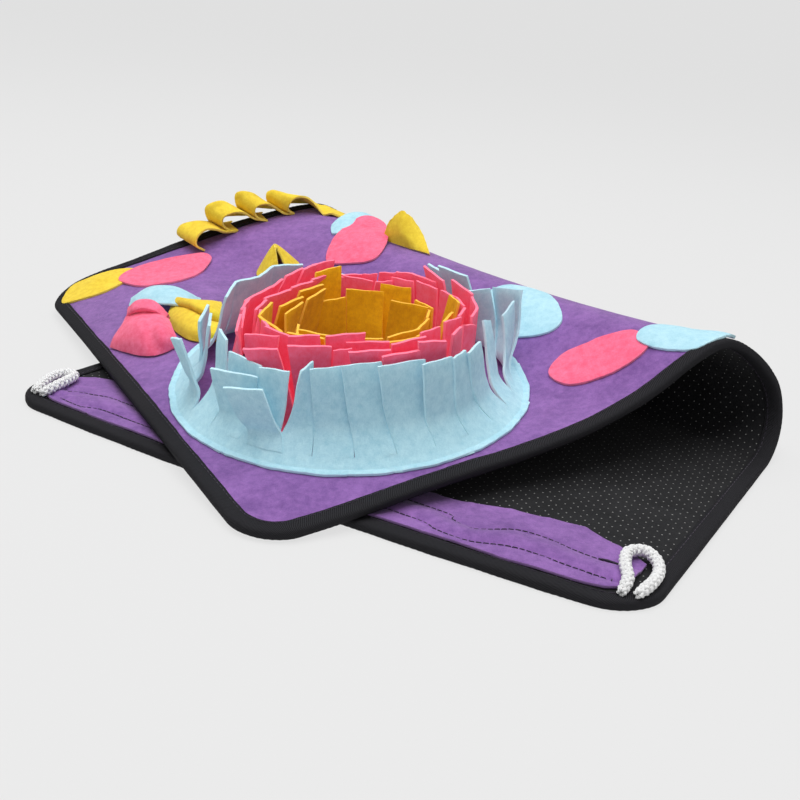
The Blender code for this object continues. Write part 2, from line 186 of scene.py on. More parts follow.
@dataclass(frozen=True)
class Felt:
    """Pressed felt: short curly fibres, soft clumps and a slow mottling."""

    name: str
    deep: Colour
    pale: Colour
    mottle: float = 0.55
    sheen: float = 0.25
    painted_glow: float = 0.0  # painted glow: the felt gives off light of its own colour, standing in for light that comes through it

    def material(self, edge: bool = False) -> bpy.types.Material:
        """The felt's face or, rougher and lighter by a painted highlight, its cut edge."""
        tree = Tree(self.name + ("_cut_edge_painted_highlight" if edge else "_face"))
        # painted highlight: the cut edge's colours are drawn towards the pale one and whitened
        lift = 0.6 if edge else 0.0
        deep, pale = ([c + (p - c) * lift + 0.10 * lift for c, p in zip(shade, self.pale)]
                      for shade in (self.deep, self.pale))
        level = tree.place()
        curls = tree.noise(level, 1300.0, 4.0, 1.6)
        strands = tree.noise(tree.place((1.0, 4.5, 1.0), 0.6), 420.0, 3.0, 0.8)
        crossing = tree.noise(tree.place((4.5, 1.0, 1.0), -0.4), 420.0, 3.0, 0.8)
        clumps = tree.noise(level, 210.0, 3.0)
        slow = tree.noise(level, 34.0, 3.0, 0.4)
        fibres = curls * 0.4 + strands * 0.3 + crossing * 0.3
        tone = fibres * 0.9 + clumps * 0.55 + slow * self.mottle - (0.225 + self.mottle / 2)
        colour = tree.mix(tone.ramp(0.22, 0.78), tuple(deep), tuple(pale))
        tree.set(Base_Color=colour, Roughness=0.78 + fibres * 0.25)
        tree.set(Sheen_Weight=self.sheen, Sheen_Roughness=0.55, Specular_IOR_Level=0.25)
        # painted light: the felt glows with its own colour, by its painted glow
        tree.set(Emission_Color=colour, Emission_Strength=self.painted_glow)
        tree.bump(fibres * 0.7 + clumps * 0.5, 0.9 if edge else 0.6, 0.8)
        return tree.material

    def both(self) -> list[bpy.types.Material]:
        """The materials of its faces and of its cut edges."""
        return [self.material(), self.material(edge=True)]


@dataclass(frozen=True)
class DottedLining:
    """Black non-woven cloth with small pale grip dots in a slanting grid."""

    name: str = "lining_dots"
    spacing_mm: float = 5.6
    dot_share: float = 0.075

    def material(self) -> bpy.types.Material:
        """The lining's one finish."""
        tree = Tree(self.name)
        flat = tree.node("ShaderNodeUVMap", {"uv_map": "cloth"}, {}).outputs[0]
        turned = tree.node("ShaderNodeMapping", {}, {"Vector": flat, "Rotation": (0, 0, math.radians(38))})
        cells = {"Vector": turned.outputs[0], "Scale": 1 / (self.spacing_mm * MM), "Randomness": 0.22}
        from_dot = tree.value("ShaderNodeTexVoronoi", {"voronoi_dimensions": "2D"}, cells, "Distance")
        dots = 1.0 - from_dot.ramp(self.dot_share * 0.7, self.dot_share * 1.3)
        grain = tree.noise(tree.place(), 900.0, 4.0, 1.0)
        slow = tree.noise(tree.place(), 40.0)
        ground = tree.mix((grain * 0.6 + slow * 0.4).ramp(0.3, 0.7), (0.006, 0.006, 0.007),
                          (0.019, 0.019, 0.021))
        tree.set(Base_Color=tree.mix(dots, ground, (0.34, 0.34, 0.33)))
        tree.set(Roughness=0.86 - dots * 0.4, Specular_IOR_Level=0.2, Sheen_Weight=0.05)
        tree.bump(grain * 0.25 + dots, 0.25)
        return tree.material


@dataclass(frozen=True)
class Twill:
    """Black cotton tape with fine slanting ribs."""

    name: str = "tape_twill"
    rib_mm: float = 1.25
    deep: Colour = (0.009, 0.009, 0.010)
    pale: Colour = (0.036, 0.035, 0.040)

    def material(self) -> bpy.types.Material:
        """The tape's one finish."""
        tree = Tree(self.name)
        flat = tree.node("ShaderNodeUVMap", {"uv_map": "cloth"}, {}).outputs[0]
        parts = tree.node("ShaderNodeSeparateXYZ", {}, {0: flat})
        along, across = Value(tree, parts.outputs[0]), Value(tree, parts.outputs[1])
        wander = tree.noise(tree.place(), 120.0)
        turns = math.tau / (self.rib_mm * MM)
        ribs = ((along + across * 0.8) * turns + wander * 2.0).sine() * 0.5 + 0.5
        yarns = (across * (turns * 1.9)).sine() * 0.5 + 0.5
        fuzz = tree.noise(tree.place(), 1500.0, 3.0, 1.0)
        tone = ribs * 0.6 + yarns * 0.15 + fuzz * 0.5
        tree.set(Base_Color=tree.mix(tone.ramp(0.2, 1.1), self.deep, self.pale))
        tree.set(Roughness=0.7 + fuzz * 0.25, Specular_IOR_Level=0.08)
        tree.bump(ribs * 0.8 + fuzz * 0.3, 0.28)
        return tree.material


@dataclass(frozen=True)
class Yarn:
    """Spun fibre for a cord or a sewing thread."""

    name: str
    deep: Colour
    pale: Colour
    ply_mm: float = 0.9
    sheen: float = 0.2

    def material(self) -> bpy.types.Material:
        """The yarn's one finish."""
        tree = Tree(self.name)
        fuzz = tree.noise(tree.place(), 1.0 / (self.ply_mm * MM), 4.0, 1.4)
        fine = tree.noise(tree.place((1.0, 3.0, 1.0), 0.8), 2200.0, 2.0)
        tone = fuzz * 0.6 + fine * 0.4
        tree.set(Base_Color=tree.mix(tone.ramp(0.3, 0.7), self.deep, self.pale))
        tree.set(Roughness=0.72 + fine * 0.2, Sheen_Weight=self.sheen, Specular_IOR_Level=0.3)
        tree.bump(tone, 0.3)
        return tree.material


class Slot(Enum):
    """The record's material slots."""

    PURPLE = "felt_purple"
    YELLOW = "felt_yellow"
    PINK = "felt_pink"
    BLUE = "felt_blue"
    LINING = "lining_black"
    TAPE = "tape_black"
    ROPE = "rope_white"


class Palette:
    """Every finish of the mat, each made once."""

    def __init__(self) -> None:
        """Makes the materials."""
        looks = {
            Slot.PURPLE: Felt("purple_felt", (0.148, 0.056, 0.255), (0.302, 0.134, 0.440)),
            Slot.YELLOW: Felt("yellow_felt", (0.74, 0.49, 0.025), (0.95, 0.73, 0.060), 0.3, 0.08),
            Slot.PINK: Felt("pink_felt", (0.86, 0.085, 0.180), (0.98, 0.210, 0.350), 0.3, 0.12),
            # the blue felt's last number is its painted glow
            Slot.BLUE: Felt("blue_felt", (0.30, 0.56, 0.67), (0.49, 0.73, 0.81), 0.3, 0.10, 0.10),
        }
        # the flower's yellow and pink as copies in painted shade: deeper and more orange for the shade and
        # bounced light in the flower's well, and with a painted glow
        standing = {
            Slot.YELLOW: Felt("amber_felt_painted_shade", (0.68, 0.29, 0.002), (0.92, 0.52, 0.005), 0.3, 0.03, 0.06),
            Slot.PINK: Felt("rose_felt_painted_shade", (0.88, 0.070, 0.145), (0.98, 0.165, 0.290), 0.3, 0.12, 0.11),
        }
        self.felts = {slot: look.both() for slot, look in looks.items()}
        self.standing = {slot: look.both() for slot, look in standing.items()}
        self.lining = DottedLining().material()
        self.tape = Twill().material()
        self.rope = Yarn("cord_cotton", (0.66, 0.66, 0.66), (0.93, 0.93, 0.93)).material()
        self.dark_thread = Yarn("dark_thread", (0.010, 0.006, 0.014), (0.035, 0.022, 0.05), 0.4).material()
        self.white_thread = Yarn("white_thread", (0.7, 0.7, 0.7), (0.9, 0.9, 0.9), 0.4).material()

    def of(self, slot: Slot, standing: bool = False) -> list[bpy.types.Material]:
        """The materials of a slot.

        Args:
            slot: the record's slot.
            standing: whether they are for the flower's standing flaps, which take yellow and pink copies in
                painted shade, with a painted glow.

        Returns:
            A face's material, then a cut edge's where it has one.
        """
        if standing and slot in self.standing:
            return self.standing[slot]
        single = {Slot.LINING: self.lining, Slot.TAPE: self.tape, Slot.ROPE: self.rope}
        return self.felts[slot] if slot in self.felts else [single[slot]]


# ---- smooth lines and nets


def weights(count: int, share: Array) -> Array:
    """How much each of some evenly spaced control points counts at each share of the way.

    Args:
        count: the number of control points.
        share: places from 0 to 1.

    Returns:
        One row of weights for each place, for a smooth line through the points.
    """
    at = np.clip(share, 0.0, 1.0) * (count - 1)
    low = np.minimum(at.astype(int), count - 2)
    t = at - low
    cubic = (
        -0.5 * t + t**2 - 0.5 * t**3,
        1.0 - 2.5 * t**2 + 1.5 * t**3,
        0.5 * t + 2.0 * t**2 - 1.5 * t**3,
        -0.5 * t**2 + 0.5 * t**3,
    )
    found = np.zeros((len(at), count + 2))
    rows = np.arange(len(at))
    for step, weight in enumerate(cubic):
        found[rows, low + step] += weight
    found[:, 1] += 2 * found[:, 0]
    found[:, 2] -= found[:, 0]
    found[:, count] += 2 * found[:, count + 1]
    found[:, count - 1] -= found[:, count + 1]
    return found[:, 1:-1]


def smooth_line(points: Sequence[Sequence[float]], count: int, closed: bool = False) -> Array:
    """Evenly spaced points on a smooth line through some given ones.

    Args:
        points: the points that the line goes through.
        count: how many points to give back.
        closed: whether the line goes on from its last point to its first.

    Returns:
        The points, one a row.
    """
    given = np.array(points, float)
    spare = 3 if closed else 0
    if closed:
        given = np.concatenate([given[-spare:], given, given[:spare]])
    dense = weights(len(given), np.linspace(0, 1, 60 * len(given))) @ given
    if closed:
        span = 60 * len(given) - 1
        first = round(span * spare / (len(given) - 1))
        last = round(span * (len(given) - spare) / (len(given) - 1))
        dense = dense[first : last + 1]
    run = np.concatenate([[0.0], np.cumsum(np.linalg.norm(np.diff(dense, axis=0), axis=1))])
    wanted = np.linspace(0, run[-1], count, endpoint=not closed)
    return np.stack([np.interp(wanted, run, dense[:, c]) for c in range(given.shape[1])], axis=1)


def wander(share: Array, waves: int, seed: int) -> Array:
    """A slow, uneven swing from -1 to 1 that closes up over a share of 0 to 1."""
    draw = random.Random(seed)
    total = np.zeros_like(share)
    for k in range(1, 5):
        total = total + np.sin(math.tau * (waves * k * share + draw.random())) / k
    return total / 2.1


# ---- the folded mat


@dataclass
class FoldedMat:
    """The mat's flat outline and the way it is folded over itself."""

    width: float = 450.0
    length: float = 740.0
    corner: float = 30.0
    crest_turn: float = -42.5
    skew: float = 13.6
    floor_lift: float = 3.4
    step: float = 1.0
    run_before: float = 10.0
    run_after: float = 880.0
    starts: tuple = ((-57.5, -256.8), (-222.6, -96.2), (-372.0, 80.6))
    # station, then the climb in degrees of the front edge, the middle line and the back edge
    climbs: tuple = (
        (0, 3, 15, 10),
        (80, 11, 19, 45),
        (160, 7, 2, 18),
        (220, 13, -7, 20),
        (270, 23, 22, 17),
        (310, 36, 38, 14),
        (340, 23, 19, 10),
        (365, -20, -7, 7),
        (390, -36, -31, -34),
        (415, -48, -68, -93),
        (440, -88, -117, -129),
        (465, -140, -159, -148),
        (490, -179, -179, -163),
        (520, -180, -180, -180),
        (650, -180, -180, -180),
    )
    lines: list[Array] = field(init=False)

    def __post_init__(self) -> None:
        """Lays out the three lines that the fold runs through."""
        self.slant = math.tan(math.radians(self.skew))
        self.lines = [self._line(start, k + 1) for k, start in enumerate(self.starts)]
        self.stations = np.arange(len(self.lines[0])) * self.step - self.run_before

    def _line(self, start: Sequence[float], column: int) -> Array:
        """Points every step along one line of the fold, its end lying on the floor."""
        table = np.array(self.climbs, float)
        turn, skew = math.radians(self.crest_turn), math.radians(self.skew)
        along = np.array([math.cos(turn), math.sin(turn), 0.0])
        across = np.array([-math.sin(turn), math.cos(turn), 0.0])
        middles = (np.arange(round((self.run_before + self.run_after) / self.step)) + 0.5) * self.step
        climb = np.radians(np.interp(middles - self.run_before, table[:, 0], table[:, column]))
        way = np.cos(climb)[:, None] * across + np.sin(climb)[:, None] * np.array([0.0, 0.0, 1.0])
        way = math.cos(skew) * way + math.sin(skew) * along
        points = np.concatenate([np.zeros((1, 3)), np.cumsum(way * self.step, axis=0)])
        shift = np.array([start[0], start[1], 0.0]) - points[round(self.run_before / self.step)]
        shift[2] = self.floor_lift - points[-1, 2]
        return points + shift

    def middle(self, u: Array, v: Array) -> Array:
        """Points of the cloth's middle, in millimetres."""
        station, share = v + u * self.slant, (u / self.width)[:, None]
        front, centre, back = (
            np.stack([np.interp(station, self.stations, line[:, c]) for c in range(3)], axis=1)
            for line in self.lines
        )
        ends = front * (1 - share) * (1 - 2 * share) + back * share * (2 * share - 1)
        return ends + centre * 4 * share * (1 - share)

    def place(self, u: Array, v: Array, height: Array | float = 0.0) -> Array:
        """Points at a height over the cloth.

        Args:
            u: flat places from the front long edge.
            v: flat places from the loose short edge.
            height: heights over the middle of the cloth.

        Returns:
            The points in metres, one a row.
        """
        u, v = np.asarray(u, float), np.asarray(v, float)
        over = self.middle(u, v + 3) - self.middle(u, v - 3)
        back = self.middle(u + 2, v) - self.middle(u - 2, v)
        normal = np.cross(over, back)
        normal /= np.linalg.norm(normal, axis=1, keepdims=True)
        heights = np.broadcast_to(height, u.shape)[:, None]
        return (self.middle(u, v) + normal * heights) * MM

    def outline(self, run: Array, inset: Array | float) -> tuple[Array, Array]:
        """Flat points at distances round the outline, from the front edge's near corner.

        Args:
            run: distances round the outline.
            inset: how far inside the outline each point is.

        Returns:
            The points' u and v.
        """
        near, radius = self.corner, self.corner - np.broadcast_to(inset, run.shape)
        far_u, far_v = self.width - near, self.length - near
        sides = (far_v - near, far_u - near)
        u, v = np.zeros_like(run), np.zeros_like(run)
        begin = 0.0
        for k, (cu, cv) in enumerate(((near, near), (near, far_v), (far_u, far_v), (far_u, near))):
            gone, side = run - begin, sides[k % 2]
            ahead, way = np.clip(gone, 0, side), math.pi / 2 * (1 - k)
            facing = math.pi / 2 + way - np.clip((gone - side) / near, 0, math.pi / 2)
            here = gone >= 0
            u = np.where(here, cu + math.cos(way) * ahead + radius * np.cos(facing), u)
            v = np.where(here, cv + math.sin(way) * ahead + radius * np.sin(facing), v)
            begin += side + near * math.pi / 2
        return u, v

    def perimeter(self) -> float:
        """The length of the outline."""
        return 2 * (self.width + self.length) - (8 - math.tau) * self.corner


MAT = FoldedMat()
FELT_TOP, LINING_LOW = 2.2, -1.2
ON_FELT = 3.2  # the height of the middle of a felt shape that lies on the face
CUT_EDGE_ANGLE = math.radians(55)  # edges that are sharper than this are cut edges
Layout = Callable[[Array, Array], tuple[Array, Array]]


# ---- meshes


def in_scene(name: str, data: bpy.types.ID | None) -> bpy.types.Object:
    """An object of some name that shows a mesh, a curve, a lamp or a camera."""
    made = bpy.data.objects.new(name, data)
    bpy.context.scene.collection.objects.link(made)
    return made


class Cloth:
    """Grids of cloth, gathered into one mesh that is then given a thickness."""

    def __init__(self, name: str) -> None:
        """Starts an empty mesh of some name."""
        self.name = name
        self.mesh = bmesh.new()
        self.flat = self.mesh.loops.layers.uv.new("cloth")

    def add(self, columns: int, rows: int, layout: Layout) -> None:
        """Adds a grid of cells.

        Args:
            columns: cells along the first share.
            rows: cells along the second share.
            layout: gives points in metres and flat places in millimetres, for shares of 0 to 1.
        """
        made = bmesh.ops.create_grid(self.mesh, x_segments=columns, y_segments=rows, size=0.5)["verts"]
        shares = np.array([(vert.co.x + 0.5, vert.co.y + 0.5) for vert in made])
        points, flat = layout(shares[:, 0], shares[:, 1])
        places = {}
        for vert, point, at in zip(made, points, flat):
            vert.co = point
            places[vert] = at * MM
        for face in {face for vert in made for face in vert.link_faces}:
            for loop in face.loops:
                loop[self.flat].uv = places[loop.vert]

    def finish(self, materials: Sequence[bpy.types.Material], thick: float, weld: float = 0.0,
               bevel: float = 0.3) -> bpy.types.Object:
        """Makes the piece.

        Args:
            materials: its face's finish and, if it has one, its cut edge's.
            thick: its thickness.
            weld: how close points are joined, in millimetres, or 0 for none.
            bevel: the width of the rounding of its cut edges.

        Returns:
            The piece, at the origin and smooth.
        """
        if weld:
            bmesh.ops.remove_doubles(self.mesh, verts=self.mesh.verts, dist=weld * MM)
        for face in self.mesh.faces:
            face.smooth = True
        data = bpy.data.meshes.new(self.name)
        self.mesh.to_mesh(data)
        self.mesh.free()
        piece = in_scene(self.name, data)
        for finish in materials:
            data.materials.append(finish)
        body = piece.modifiers.new("thickness", "SOLIDIFY")
        body.thickness, body.offset = thick * MM, 0.0
        body.material_offset_rim = len(materials) - 1
        if bevel:
            edge = piece.modifiers.new("cut_edge", "BEVEL")
            edge.width, edge.segments, edge.limit_method = bevel * MM, 2, "ANGLE"
            edge.angle_limit = CUT_EDGE_ANGLE
        log.info("%s: %d faces before its thickness", self.name, len(data.polygons))
        return piece


class Thread:
    """Short round lengths of yarn, gathered into one mesh."""

    def __init__(self, name: str, radius: float, sides: int = 2) -> None:
        """Starts a curve of some radius."""
        self.name = name
        self.curve = bpy.data.curves.new(name + "_line", "CURVE")
        self.curve.dimensions = "3D"
        self.curve.bevel_depth = radius * MM
        self.curve.bevel_resolution = sides
        self.curve.use_fill_caps = True

    def add(self, points: Array, sizes: Array | None = None) -> None:
        """Adds one length through points in metres, each with a share of the radius."""
        line = self.curve.splines.new("POLY")
        line.points.add(len(points) - 1)
        for k, point in enumerate(points):
            line.points[k].co = (*point, 1.0)
            line.points[k].radius = 1.0 if sizes is None else float(sizes[k])

    def finish(self, material: bpy.types.Material) -> bpy.types.Object:
        """Makes the piece, at the origin and smooth."""
        shape = in_scene(self.name + "_line", self.curve)
        graph = bpy.context.evaluated_depsgraph_get()
        data = bpy.data.meshes.new_from_object(shape.evaluated_get(graph))
        bpy.data.objects.remove(shape)
        data.name = self.name
        data.materials.clear()
        data.materials.append(material)
        for face in data.polygons:
            face.use_smooth = True
        log.info("%s: %d faces", self.name, len(data.polygons))
        return in_scene(self.name, data)


@dataclass
class Seam:
    """A row of stitches along a flat line."""

    rows: Sequence[Sequence[float]]
    height: float
    stitch: float = 3.2
    gap: float = 1.0
    side: int = 1

    def sew(self, thread: Thread) -> None:
        """Adds the seam's stitches to a thread."""
        line = smooth_line(self.rows, 400)
        run = np.concatenate([[0.0], np.cumsum(np.linalg.norm(np.diff(line, axis=0), axis=1))])
        for k in range(int(run[-1] / (self.stitch + self.gap))):
            at = k * (self.stitch + self.gap) + self.stitch * np.array([0.0, 0.12, 0.88, 1.0])
            u, v = np.interp(at, run, line[:, 0]), np.interp(at, run, line[:, 1])
            rise = self.side * np.array([-0.5, 0.08, 0.08, -0.5])
            thread.add(MAT.place(u, v, self.height + rise))


def unrolled(layout: Callable[[Array, Array], Array]) -> tuple[float, float]:
    """How wide and how long a smooth sheet is when it is laid out flat.

    Args:
        layout: gives points in metres for shares of 0 to 1.

    Returns:
        The mean lengths of its lines along the first share and along the second, in metres.
    """
    run, fixed = np.meshgrid(np.linspace(0, 1, 61), np.linspace(0, 1, 9))
    sizes = []
    for s, t in ((run, fixed), (fixed, run)):
        points = layout(s.ravel(), t.ravel()).reshape(9, 61, 3)
        sizes.append(float(np.linalg.norm(np.diff(points, axis=1), axis=2).sum(axis=1).mean()))
    return sizes[0], sizes[1]


def attach(piece: bpy.types.Object, slot: Slot, *nodes: str) -> bpy.types.Object:
    """Lets a piece go with the body, in place of the CAD nodes it stands for."""
    if nodes:
        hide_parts(*nodes)
    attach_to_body(piece, BODY)
    return piece


# ---- the mat itself


@dataclass
class MatLayers:
    """The felt face, the lining and the tape folded round their edge."""

    palette: Palette
    columns: int = 104
    rows: int = 250
    felt_thick: float = 2.0
    lining_thick: float = 1.0
    inset: float = 0.6
    crowding: float = 0.62  # how much closer together the rows lie towards the short edges
    tape_width: float = 9.5  # on each side of the mat
    tape_flat: float = 26.2
    tape_thick: float = 0.8
    puckers: int = 551
    pucker: float = 0.10

    def layer(self, height: float, slack: float) -> Layout:
        """The layout of a sheet of the whole mat, with its rounded corners."""

        def layout(s: Array, t: Array) -> tuple[Array, Array]:
            t = t - self.crowding * np.sin(math.tau * t) / math.tau
            v = self.inset + (MAT.length - 2 * self.inset) * t
            round_off, radius = MAT.corner, MAT.corner - self.inset
            into = np.clip(round_off - np.minimum(v, MAT.length - v), 0, radius)
            side = round_off - np.sqrt(radius**2 - into**2 + 1e-9)
            side = np.where(into > 0, side, self.inset)
            u = side + (MAT.width - 2 * side) * s
            ripple = slack * wander(s * 0.7 + t * 0.4, 2, 5) * wander(t, 5, 9)
            return MAT.place(u, v, height + ripple), np.stack([u, v], axis=1)

        return layout

    def tape(self, s: Array, t: Array) -> tuple[Array, Array]:
        """The layout of the tape, its ends meeting, from its felt side to its lining side."""
        width = self.tape_width
        section = np.array([
            # inset from the outline, height
            (width, 2.62), (width - 1.2, 3.05), (width * 0.5, 3.2), (1.4, 3.15), (-0.3, 2.8), (-0.95, 1.9),
            (-1.0, 0.5), (-0.95, -0.9), (-0.3, -1.8), (1.4, -2.15), (width * 0.5, -2.2),
            (width - 1.2, -2.05), (width, -1.75),
        ])
        at = weights(len(section), t) @ section
        run = s * MAT.perimeter()
        pucker = np.sin(math.tau * s * self.puckers) * self.pucker + wander(s, 37, 3) * 0.22
        inset = at[:, 0] * (1 + 0.05 * wander(s, 11, 7)) + 0.25 * wander(s, 60, 8) * (at[:, 0] > 5)
        u, v = MAT.outline(run, inset)
        swell = np.where(at[:, 1] > 0.5, pucker, -pucker) * (1 - np.abs(2 * t - 1) ** 6)
        flat = np.stack([run, t * (2 * width + 8)], axis=1)
        return MAT.place(u, v, at[:, 1] + swell), flat

    def build(self) -> None:
        """Makes the layers, the tape and the stitches that hold it."""
        felt = Cloth("purple_felt")
        felt.add(self.columns, self.rows, self.layer(FELT_TOP - self.felt_thick / 2, 0.16))
        face = attach(felt.finish(self.palette.of(Slot.PURPLE), self.felt_thick), Slot.PURPLE, "felt_face")
        dots = Cloth("dotted_lining")
        dots.add(self.columns, self.rows, self.layer(LINING_LOW + self.lining_thick / 2, 0.12))
        under = attach(dots.finish([self.palette.lining], self.lining_thick), Slot.LINING, "lining")
        edge = Cloth("twill_binding")
        edge.add(1160, 14, self.tape)
        tape = attach(edge.finish([self.palette.tape], self.tape_thick, weld=0.02, bevel=0.15),
                      Slot.TAPE, "edge_binding")
        seam = Thread("binding_stitches", 0.24, 1)
        around = np.linspace(0, 1, 1200, endpoint=False) * MAT.perimeter()
        for height, side in ((3.5, 1), (-2.55, -1)):
            u, v = MAT.outline(around, self.tape_width - 1.9)
            Seam(np.stack([u, v], axis=1), height, 3.4, 1.2, side).sew(seam)
        stitches = attach(seam.finish(self.palette.dark_thread), Slot.TAPE)


@dataclass
class CordCasing:
    """The felt strip over the lining, its seams, and a loop of cord out of each of its ends."""

    palette: Palette
    thick: float = 1.7
    flat: tuple[float, float] = (0.420, 0.053)  # metres
    tack_stitches: int = 9
    # u, inner edge v, outer edge v
    edges: tuple = (
        (16, 690, 716),
        (20, 687, 723),
        (26, 682, 727),
        (40, 676, 729),
        (60, 668, 729),
        (80, 669, 730),
        (100, 671, 729),
        (120, 678, 729),
        (140, 683, 729),
        (185, 681, 730),
        (230, 680, 729),
        (280, 679, 730),
        (330, 677, 729),
        (375, 675, 730),
        (418, 676, 729),
        (428, 680, 726),
        (436, 690, 718),
    )
    inner_seam: tuple = (
        (417, 724), (420, 712), (406, 705), (390, 700), (369, 700), (250, 700), (137, 700), (122, 706),
        (108, 709), (89, 695), (71, 694), (54, 698), (39, 700), (30, 699),
    )
    outer_seam: tuple = (
        (417, 724), (395, 725), (379, 719), (337, 719), (240, 718), (145, 718), (123, 723), (104, 724),
        (84, 716), (69, 715), (51, 717), (25, 719),
    )
    short_seams: tuple = (((395, 725), (379, 732)), ((25, 720), (27, 708)), ((29, 691), (29, 683)))

    def seam_height(self, u: Array, v: Array) -> Array:
        """How far the strip is drawn down by its seams and raised over its cord."""
        inner, outer = (
            np.interp(u, *np.array(sorted(rows)).T) for rows in (self.inner_seam, self.outer_seam)
        )
        groove = np.exp(-(((v - inner) / 1.6) ** 2)) + np.exp(-(((v - outer) / 1.6) ** 2))
        inside = np.clip((v - inner) / np.maximum(outer - inner, 3), 0, 1)
        return 1.5 * np.sin(math.pi * inside) ** 1.2 - 0.55 * np.minimum(groove, 1)

    def strip(self, s: Array, t: Array) -> tuple[Array, Array]:
        """The layout of the strip, its cut edges a little ragged."""
        table = np.array(self.edges, float)
        u = table[0, 0] + (table[-1, 0] - table[0, 0]) * s
        inner, outer = (np.interp(u, table[:, 0], table[:, c]) for c in (1, 2))
        inner = inner + 0.8 * wander(s, 19, 2) + 1.2 * wander(s, 5, 3)
        v = inner + (outer - inner) * t
        height = LINING_LOW - 0.6 - self.thick / 2 - self.seam_height(u, v) - 0.25 * wander(s, 9, 4)
        return MAT.place(u, v, height), np.stack([u, v], axis=1)

    def build(self) -> None:
        """Makes the strip, its seams, its tack and its two loops of cord."""
        cloth = Cloth("casing_strip")
        cloth.add(210, 30, self.strip)
        strip = attach(cloth.finish(self.palette.of(Slot.PURPLE), self.thick), Slot.PURPLE, "cord_casing")
        seams = Thread("casing_stitches", 0.33, 1)
        for rows in (self.inner_seam, self.outer_seam, *self.short_seams):
            Seam(rows, LINING_LOW - 0.6 - self.thick + 0.25, 3.0, 0.9, -1).sew(seams)
        for k in range(self.tack_stitches):
            across = 0.5 * (k % 3 - 1)
            u = np.array([39 - 0.6 * k % 2, 34.0, 28.0 + 0.7 * (k % 2)])
            v = np.array([701.0, 701.0, 701.0]) + across + 0.2 * math.sin(k * 2.1)
            seams.add(MAT.place(u, v, LINING_LOW - 2.6 - np.array([0.1, 0.5, 0.1]) - 0.16 * (k // 3)))
        sewn = attach(seams.finish(self.palette.dark_thread), Slot.PURPLE)
        Braid("cord_loop_near", "rope_loop_near", self.palette, (
            (16, 731, 7.8), (17.5, 718, 10.2), (24, 704, 11.4), (26.5, 691, 11.4), (20, 684, 11.2),
            (12, 689, 10.4), (7, 700, 9.6), (6, 714, 9.4), (8.5, 729, 8.6),
        )).build()
        Braid("cord_loop_far", "rope_loop_far", self.palette, (
            (434, 731, 8.4), (439, 717, 10.6), (442, 706, 11.0), (438.5, 697, 11.4), (431.5, 697, 11.4),
            (428, 706, 11.4), (426, 716, 11.4), (427, 731, 8.6),
        )).build()


@dataclass
class Braid:
    """A loop of round cord, braided from eight strands, its two ends sewn to the mat's edge."""

    name: str
    node: str
    palette: Palette
    # flat u and v, height over the floor
    rows: tuple
    radius: float = 2.15
    strand: float = 1.12
    swing: float = 0.42
    pitch: float = 17.0
    diameter: float = 6.4
    strands: int = 8
    end_taper: tuple[float, float] = (0.72, 7.0)  # how slim each end is, and how far in that goes

    def build(self) -> None:
        rows = np.array(self.rows, float)
        ground = MAT.middle(rows[:, 0], rows[:, 1])
        ground[:, 2] = rows[:, 2]
        path = smooth_line(ground, 150)
        way = np.gradient(path, axis=0)
        way /= np.linalg.norm(way, axis=1, keepdims=True)
        side = np.cross(way, np.array([0.0, 0.0, 1.0]))
        side /= np.linalg.norm(side, axis=1, keepdims=True)
        up = np.cross(side, way)
        length = float(np.linalg.norm(np.diff(path, axis=0), axis=1).sum())
        run = np.linspace(0, length, len(path))
        to_end = np.minimum(run, length - run)
        thin, reach_in = self.end_taper
        slim = thin + (1 - thin) * np.clip(to_end / reach_in, 0, 1) ** 0.7
        cord = Thread(self.name, self.strand, 3)
        each_way = self.strands // 2
        for k in range(self.strands):
            hand = 1 if k < each_way else -1
            angle = hand * math.tau * run / self.pitch + (k % each_way) * math.tau / each_way
            reach = (self.radius + hand * self.swing * np.cos(4 * angle)) * slim
            ring = np.cos(angle)[:, None] * side + np.sin(angle)[:, None] * up
            cord.add((path + ring * reach[:, None]) * MM, slim)
        piece = attach(cord.finish(self.palette.rope), Slot.ROPE, self.node)


# ---- the flower


@dataclass
class Flap:
    """Where one flap's top corners are moved to; a turn is in degrees round the flower."""

    index: float
    low: tuple[float, float, float]  # turn, radius and height of the corner at the lower turn
    high: tuple[float, float, float]
    bulge: float = 0.0  # how far its middle stands out
    out: float = 0.0  # how far its foot is moved out


def flaps(*rows: tuple[float, ...]) -> tuple[Flap, ...]:
    """Flaps from rows of numbers, in the order of a flap's own fields."""
    return tuple(Flap(row[0], row[1:4], row[4:7], *row[7:]) for row in rows)


